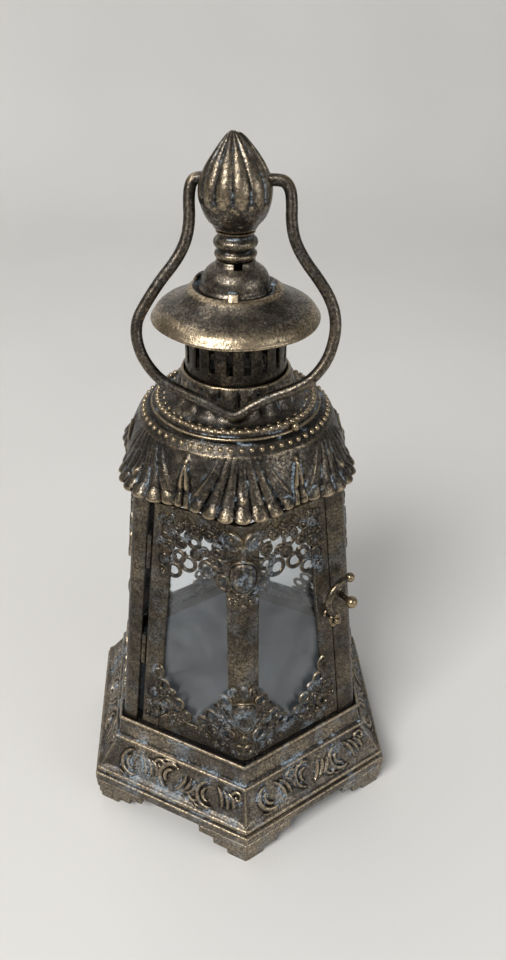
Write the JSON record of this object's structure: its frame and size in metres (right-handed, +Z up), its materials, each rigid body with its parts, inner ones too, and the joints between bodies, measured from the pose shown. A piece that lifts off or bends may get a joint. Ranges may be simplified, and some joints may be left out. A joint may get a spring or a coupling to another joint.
{
  "type": "candle lantern",
  "caption": "Hexagonal metal and glass candle lantern with a tapering body, corner door with hook latch, scalloped roof, vented cap and swinging carrying bail.",
  "frame": {"origin": "centre of the resting plane under the six feet", "axes": "+Z up; a corner of the hexagon, with the door wrapped round it, points along -Y; +X to the viewer's right"},
  "size_m": [0.1212, 0.14, 0.26],
  "materials": {
    "aged_bronze": "antique bronze over pressed sheet, rubbed gold on high spots, pale grey-blue bloom in the grooves",
    "frame_bronze": "mottled copper-brown antique finish, satin",
    "lace_bronze": "dark antique bronze openwork with worn edges",
    "bail_wire": "dark antique bronze wire, pale wash along the top",
    "latch_brass": "rubbed antique brass, polished by handling",
    "plain_steel": "plain steel",
    "floor_grey": "grey painted sheet, matt",
    "clear_glass": "clear window glass, slightly dusty"
  },
  "bodies": {
    "frame": {"base_shell": "aged_bronze", "floor_plate": "floor_grey", "foot_front": "aged_bronze", "foot_right": "aged_bronze", "foot_back_right": "aged_bronze", "foot_back": "aged_bronze", "foot_back_left": "aged_bronze", "foot_left": "aged_bronze", "post_hinge_side": "frame_bronze", "post_latch_side": "frame_bronze", "post_back_right": "frame_bronze", "post_back": "frame_bronze", "post_back_left": "frame_bronze", "frame_bottom_rails": "frame_bronze", "frame_top_rails": "frame_bronze", "top_ring": "aged_bronze", "glass_right": "clear_glass", "glass_back_right": "clear_glass", "glass_back_left": "clear_glass", "glass_left": "clear_glass", "frame_glass_clips": "frame_bronze", "frame_lace_top_sides": "lace_bronze", "frame_lace_top_back_right": "lace_bronze", "frame_lace_top_back": "lace_bronze", "frame_lace_top_back_left": "lace_bronze", "frame_lace_bottom_sides": "lace_bronze", "frame_lace_bottom_back_right": "lace_bronze", "frame_lace_bottom_back": "lace_bronze", "frame_lace_bottom_back_left": "lace_bronze", "hinge_frame_leaves": "frame_bronze", "hinge_pins": "plain_steel", "latch_stud": "latch_brass", "roof_skirt": "aged_bronze", "roof_dome": "aged_bronze", "vent_collar": "aged_bronze", "cap": "aged_bronze", "bell_dome": "aged_bronze", "neck": "aged_bronze", "centre_screw": "plain_steel", "finial_front": "aged_bronze", "finial_back": "aged_bronze"},
    "door": {"door_corner_post": "frame_bronze", "door_hinge_stile": "frame_bronze", "door_latch_stile": "frame_bronze", "door_bottom_rail": "frame_bronze", "door_top_rail": "frame_bronze", "glass_door_left": "clear_glass", "glass_door_right": "clear_glass", "door_glass_clips": "frame_bronze", "door_lace_top_corner": "lace_bronze", "door_lace_top_sides": "lace_bronze", "door_lace_bottom_corner": "lace_bronze", "door_lace_bottom_sides": "lace_bronze", "hinge_door_leaves": "frame_bronze", "latch_rivet": "latch_brass"},
    "latch": {"latch_hook": "latch_brass"},
    "bail": {"bail": "bail_wire"}
  },
  "joints": [
    {"name": "door_hinge", "type": "hinge", "parent": "frame", "child": "door", "pos_m": [-0.04066, -0.03043, 0.04324], "axis": [-0.1027, -0.0593, -0.9929], "range_deg": [0, 100]},
    {"name": "latch_pivot", "type": "hinge", "parent": "door", "child": "latch", "pos_m": [0.03271, -0.02945, 0.09582], "axis": [0.4973, -0.8614, 0.1028], "range_deg": [0, 75]},
    {"name": "bail_pivot", "type": "hinge", "parent": "frame", "child": "bail", "pos_m": [0, 0, 0.2463], "axis": [-0.991, 0.134, 0], "range_deg": [0, 322]}
  ]
}
